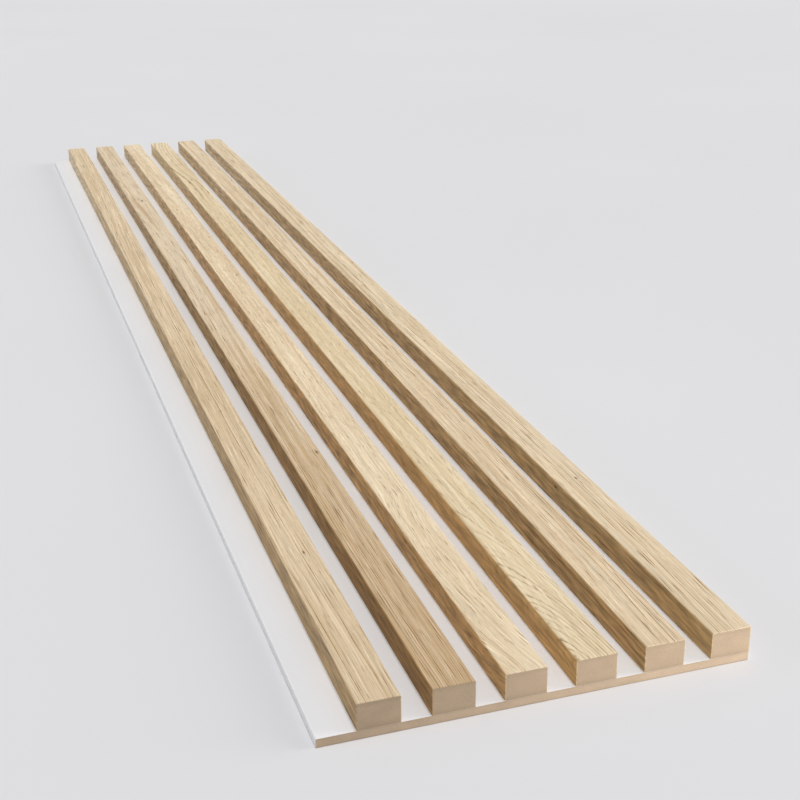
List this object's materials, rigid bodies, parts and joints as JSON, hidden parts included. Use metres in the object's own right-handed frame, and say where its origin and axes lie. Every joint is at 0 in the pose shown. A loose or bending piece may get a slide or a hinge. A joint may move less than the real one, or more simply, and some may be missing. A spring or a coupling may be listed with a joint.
{
  "type": "slat wall panel",
  "caption": "Flat wall panel of parallel oak-veneered slats glued to a white-faced backing board, with a bare margin along one long edge, for decorative wall cladding.",
  "frame": {"origin": "middle of the panel's back face", "axes": "+X across the slats, away from the bare margin; +Y along the slats; +Z out from the wall, through the slats' faces"},
  "size_m": [0.3, 1.8, 0.0259],
  "materials": {
    "oak_veneer": "natural light oak veneer, matt",
    "slat_mdf": "raw MDF, saw-cut ends",
    "board_mdf": "raw MDF, sanded back and saw-cut ends",
    "white_film": "white satin film"
  },
  "bodies": {
    "root": {"backing_board": "board_mdf", "white_film": "white_film", "slat_core_1": "slat_mdf", "slat_core_2": "slat_mdf", "slat_core_3": "slat_mdf", "slat_core_4": "slat_mdf", "slat_core_5": "slat_mdf", "slat_core_6": "slat_mdf", "slat_veneer_1": "oak_veneer", "slat_veneer_2": "oak_veneer", "slat_veneer_3": "oak_veneer", "slat_veneer_4": "oak_veneer", "slat_veneer_5": "oak_veneer", "slat_veneer_6": "oak_veneer"}
  },
  "joints": []
}
